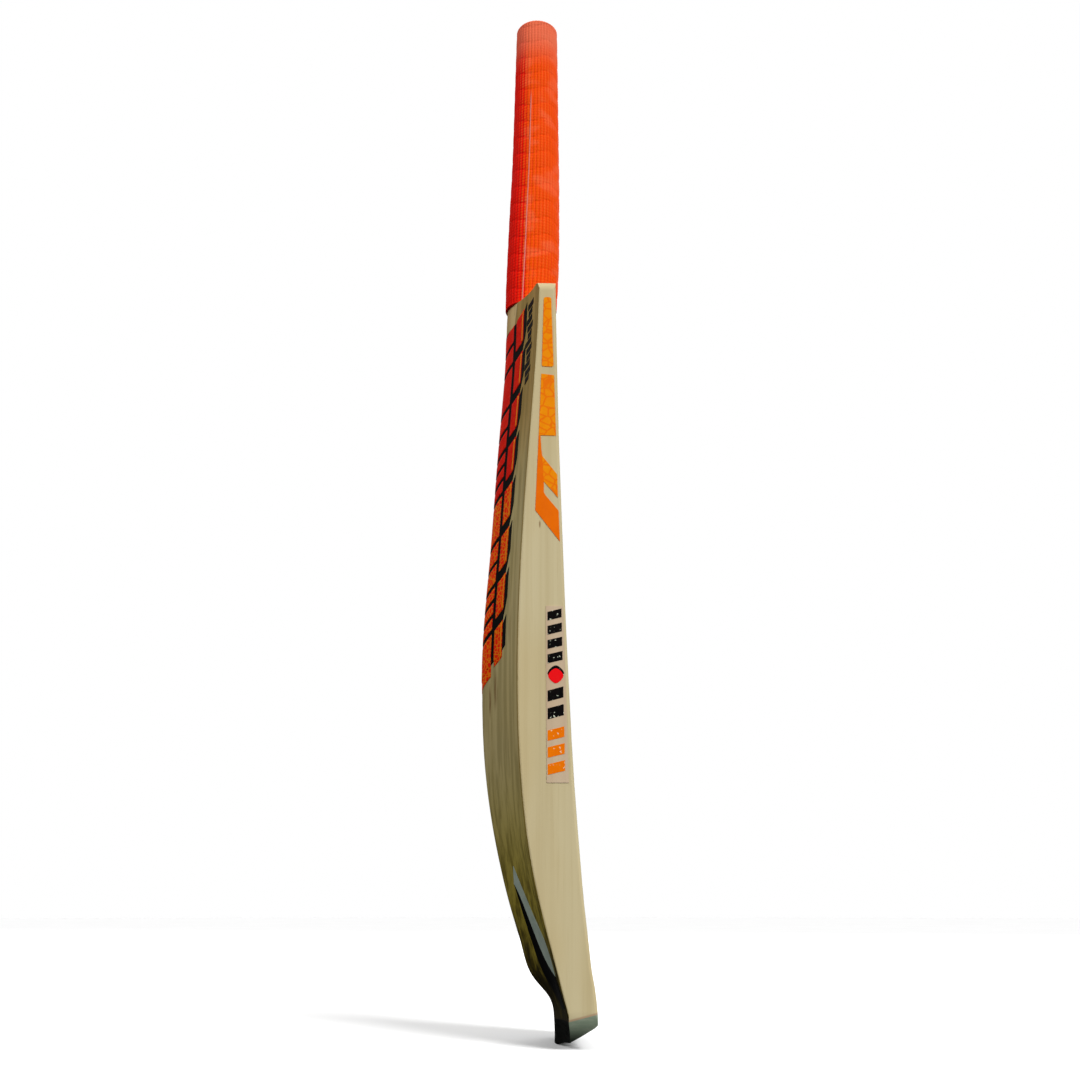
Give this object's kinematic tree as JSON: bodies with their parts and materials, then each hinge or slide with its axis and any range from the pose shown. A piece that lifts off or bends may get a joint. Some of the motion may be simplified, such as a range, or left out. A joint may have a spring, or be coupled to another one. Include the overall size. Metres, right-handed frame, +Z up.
{
  "type": "cricket bat",
  "caption": "Full-size cricket bat with a bowed willow blade, a spliced cane handle, a ribbed rubber grip and a toe guard.",
  "frame": {"origin": "on the ground under the middle of the bat's outline, with the bat standing upright on its toe", "axes": "+Z up from the toe to the end of the handle, +Y the way the hitting face looks, +X towards the bat's right edge as seen from the back"},
  "size_m": [0.1086, 0.081, 0.835],
  "materials": {
    "willow": "satin, lightly oiled",
    "cane": "satin",
    "spring_rubber": "matt",
    "twine": "matt, waxed",
    "grip_rubber": "ribbed, satin",
    "guard_rubber": "satin",
    "label_amber": "printed, satin gloss",
    "label_orange": "printed, satin gloss",
    "label_film": "clear, glossy",
    "label_silver": "printed, satin gloss",
    "label_black": "printed, glossy",
    "label_spine": "printed, glossy"
  },
  "bodies": {
    "root": {"blade": "willow", "cane_face_left": "cane", "cane_face_centre": "cane", "cane_face_right": "cane", "cane_front_left": "cane", "cane_front_centre": "cane", "cane_front_right": "cane", "cane_rear_left": "cane", "cane_rear_centre": "cane", "cane_rear_right": "cane", "cane_spine_left": "cane", "cane_spine_centre": "cane", "cane_spine_right": "cane", "spring_front": "spring_rubber", "spring_middle": "spring_rubber", "spring_rear": "spring_rubber", "twine_binding": "twine", "grip": "grip_rubber", "toe_guard": "guard_rubber", "spine_label": "label_spine", "flank_strokes": "label_black", "edge_bar_upper_right": "label_amber", "edge_bar_lower_right": "label_amber", "edge_slash_right": "label_orange", "edge_inset_right": "label_amber", "edge_film_right": "label_film", "flash_silver_right": "label_silver", "flash_black_right": "label_black", "edge_bar_upper_left": "label_amber", "edge_bar_lower_left": "label_amber", "edge_slash_left": "label_orange", "edge_inset_left": "label_amber", "edge_film_left": "label_film", "flash_silver_left": "label_silver", "flash_black_left": "label_black"}
  },
  "joints": []
}
